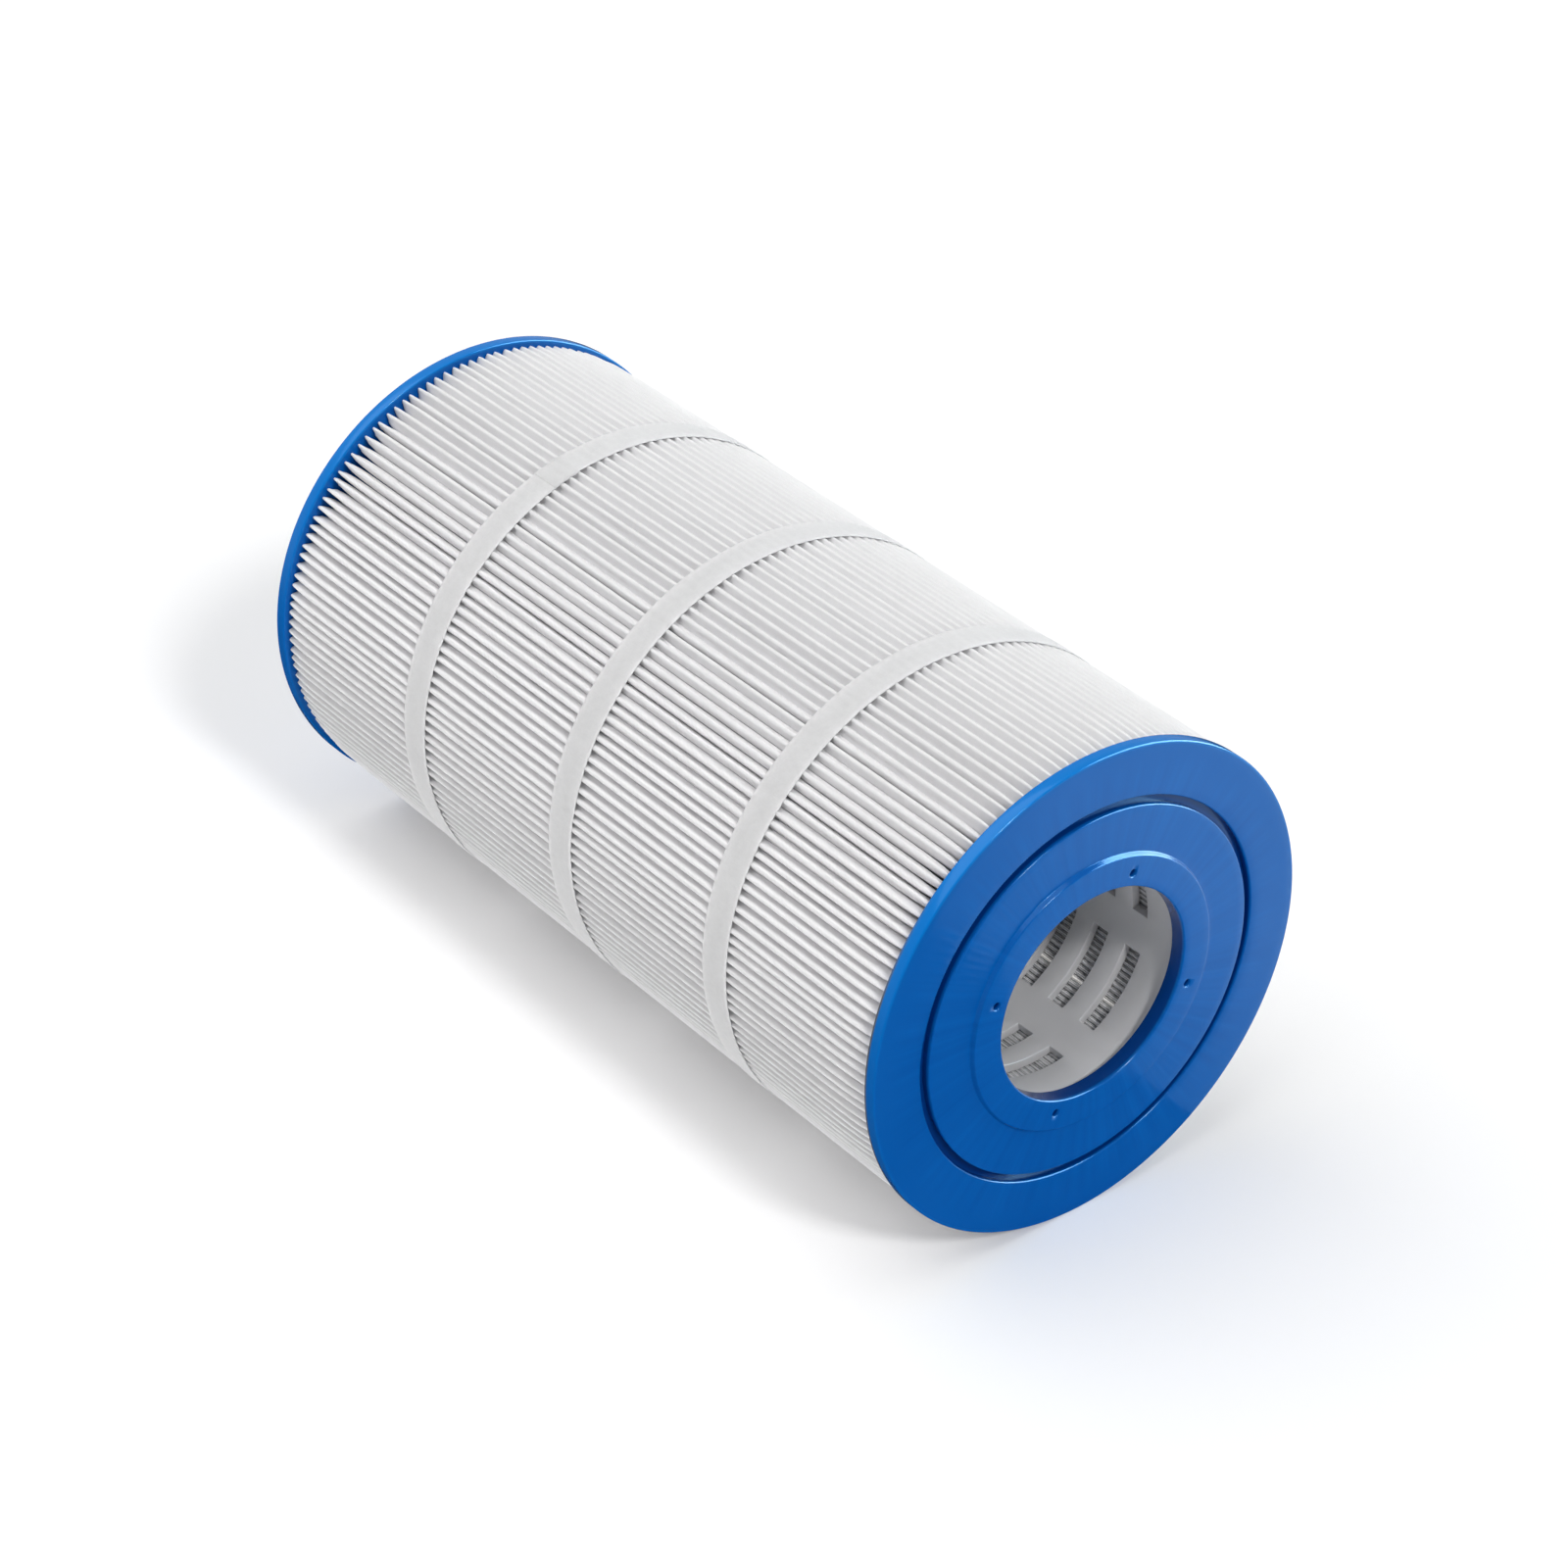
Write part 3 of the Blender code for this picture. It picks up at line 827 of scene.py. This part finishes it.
def core_section(name, node, material):
    """One moulded length of the core, its windows cut clean through and their edges eased."""
    low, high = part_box(node)
    first_ring = round((low.x + high.x) / 2 / RING_PITCH - RINGS_PER_SECTION / 2 - 0.01)
    levels = [low.x]
    for ring in range(RINGS_PER_SECTION):
        middle = (first_ring + ring + 0.5) * RING_PITCH
        levels += [middle - WINDOW_HEIGHT / 2, middle + WINDOW_HEIGHT / 2]
    levels.append(high.x)
    angles, opens = core_columns()
    x = np.array(levels)[:, None] + 0 * angles
    y, z = around(angles, np.full_like(x, CORE_INNER))
    points = np.stack([x, y, z], axis=2)
    tube = sheet_object(name, points, material, closed_columns=True)
    keep = [
        list(face.vertices)
        for number, face in enumerate(tube.data.polygons)
        if not (opens[number % len(angles)] and (number // len(angles)) % 2 == 1)
    ]
    mesh = bpy.data.meshes.new(name)
    mesh.from_pydata([vert.co[:] for vert in tube.data.vertices], [], keep)
    mesh.materials.append(material)
    mesh.shade_smooth()
    tube.data = mesh
    solidify = tube.modifiers.new("Wall", "SOLIDIFY")
    solidify.thickness = CORE_OUTER - CORE_INNER
    solidify.offset = -1.0
    ease = tube.modifiers.new("Eased edges", "BEVEL")
    ease.width = 0.35 * MM
    ease.segments = 2
    ease.limit_method = "ANGLE"
    ease.angle_limit = math.radians(50)
    apply_modifiers(tube)
    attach(tube, "root")
    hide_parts(node)


# ---------------------------------------------------------------- studio


def camera(centre):
    """The camera at the photo's angle, aimed past the cartridge's middle."""
    azimuth, elevation = math.radians(CAMERA_AZIMUTH), math.radians(CAMERA_ELEVATION)
    back = Vector(
        (
            math.sin(azimuth) * math.cos(elevation),
            -math.cos(azimuth) * math.cos(elevation),
            math.sin(elevation),
        )
    )
    right = Vector((math.cos(azimuth), math.sin(azimuth), 0.0))
    up = back.cross(right)
    data = bpy.data.cameras.new("camera")
    data.lens = CAMERA_LENS
    data.sensor_width = 36.0
    obj = bpy.data.objects.new("camera", data)
    bpy.context.scene.collection.objects.link(obj)
    place = centre + back * CAMERA_DISTANCE + right * CAMERA_RIGHT + up * CAMERA_UP
    turned = Matrix((right, up, back)).transposed().to_4x4()
    obj.matrix_world = Matrix.Translation(place) @ turned
    bpy.context.scene.camera = obj


def softbox(name, towards, strength, angle, gloss_only):
    """A wide, distant light in that direction; a bluish one, if it shows only in gloss."""
    data = bpy.data.lights.new(name, "SUN")
    data.energy = strength
    data.angle = angle
    obj = bpy.data.objects.new(name, data)
    bpy.context.scene.collection.objects.link(obj)
    obj.rotation_mode = "QUATERNION"
    obj.rotation_quaternion = Vector(towards).to_track_quat("Z", "Y")
    if gloss_only:
        obj.visible_diffuse = False
        data.color = GLINT_COLOR


def reflector(floor_height):
    """A white card to the right of the near cap, fading in, which shows only in its gloss."""
    material, tree, shader = start_material("reflector")
    shader.inputs["Base Color"].default_value = (0.0, 0.0, 0.0, 1.0)
    shader.inputs["Emission Color"].default_value = (1.0, 1.0, 1.0, 1.0)
    parts = add_node(tree, "ShaderNodeSeparateXYZ", Vector=object_position(tree))
    strength = remap(tree, parts.outputs["Y"], 0.09, 0.20, 0.0, 0.52)
    tree.links.new(strength, shader.inputs["Emission Strength"])
    x, y = np.meshgrid((0.1, 2.0), (0.08, 2.5), indexing="ij")
    points = np.stack([x, y, np.full_like(x, floor_height + 1 * MM)], axis=2)
    card = sheet_object("reflector", points, material)
    card.visible_camera = False
    card.visible_diffuse = False
    card.visible_shadow = False
    card.visible_transmission = False


def sky():
    """Soft white light, weaker on the near cap's side and dark below the floor's horizon."""
    world = bpy.data.worlds.new("studio")
    world.use_nodes = True
    tree = world.node_tree
    parts = add_node(tree, "ShaderNodeSeparateXYZ", Vector=object_position(tree))
    sideways = remap(tree, parts.outputs["X"], -1.0, 1.0, *SKY_STRENGTHS)
    above = remap(tree, parts.outputs["Z"], -0.35, 0.0, 0.05, 1.0)
    strength = math_node(tree, "MULTIPLY", sideways, above)
    background = tree.nodes["Background"]
    background.inputs["Color"].default_value = (1.0, 1.0, 1.0, 1.0)
    tree.links.new(strength, background.inputs["Strength"])
    bpy.context.scene.world = world


def studio(floor_height):
    """The floor, the sky, the lamps and the card in the near cap's gloss."""
    steps = np.linspace(-FLOOR_HALF_SIZE, FLOOR_HALF_SIZE, 5)
    x, y = np.meshgrid(steps, steps, indexing="ij")
    points = np.stack([x, y, np.full_like(x, floor_height)], axis=2)
    floor = sheet_object("studio_floor", points, studio_floor())
    floor.visible_glossy = False
    sky()
    bpy.context.scene.view_settings.view_transform = "Standard"
    for name, towards, strength, degrees, gloss_only in LAMPS:
        softbox(name, towards, strength, math.radians(degrees), gloss_only)
    reflector(floor_height)


def build():
    """Every visible piece, then the camera and the studio."""
    low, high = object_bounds()
    random = np.random.default_rng(7)

    blue = polyurethane()
    end_cap("cast_cap_front", "end_cap_front", 1, blue, random)
    end_cap("cast_cap_rear", "end_cap_rear", -1, blue, random)

    band_nodes = ("band_rear", "band_middle", "band_front")
    band_spans = [(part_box(node)[0].x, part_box(node)[1].x) for node in band_nodes]
    fabric = spunbond("white_spunbond", MEDIA_WHITE, 2600.0, 0.02 * MM, folded=True)
    x, tips = pleated_media(fabric, band_spans, random)
    seam(hot_melt(), random)

    tape = spunbond("white_tape", TAPE_WHITE, 1700.0, 0.10 * MM)
    for node, lap in zip(band_nodes, (101, 250, 20)):
        band("tape_" + node, node, math.radians(lap), x, tips, tape, random)

    plastic = moulded_plastic()
    for index in range(1, 5):
        core_section(f"core_moulding_{index}", f"core_section_{index}", plastic)

    camera((low + high) / 2)
    # The round cap reaches a little lower than the CAD's, which is round only at its corners.
    cap_low, cap_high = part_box("end_cap_front")
    flat_radius = (cap_high.z - cap_low.z) / 2
    studio(cap_low.z - flat_radius * (1 / math.cos(math.pi / CAD_CAP_SIDES) - 1))


build()
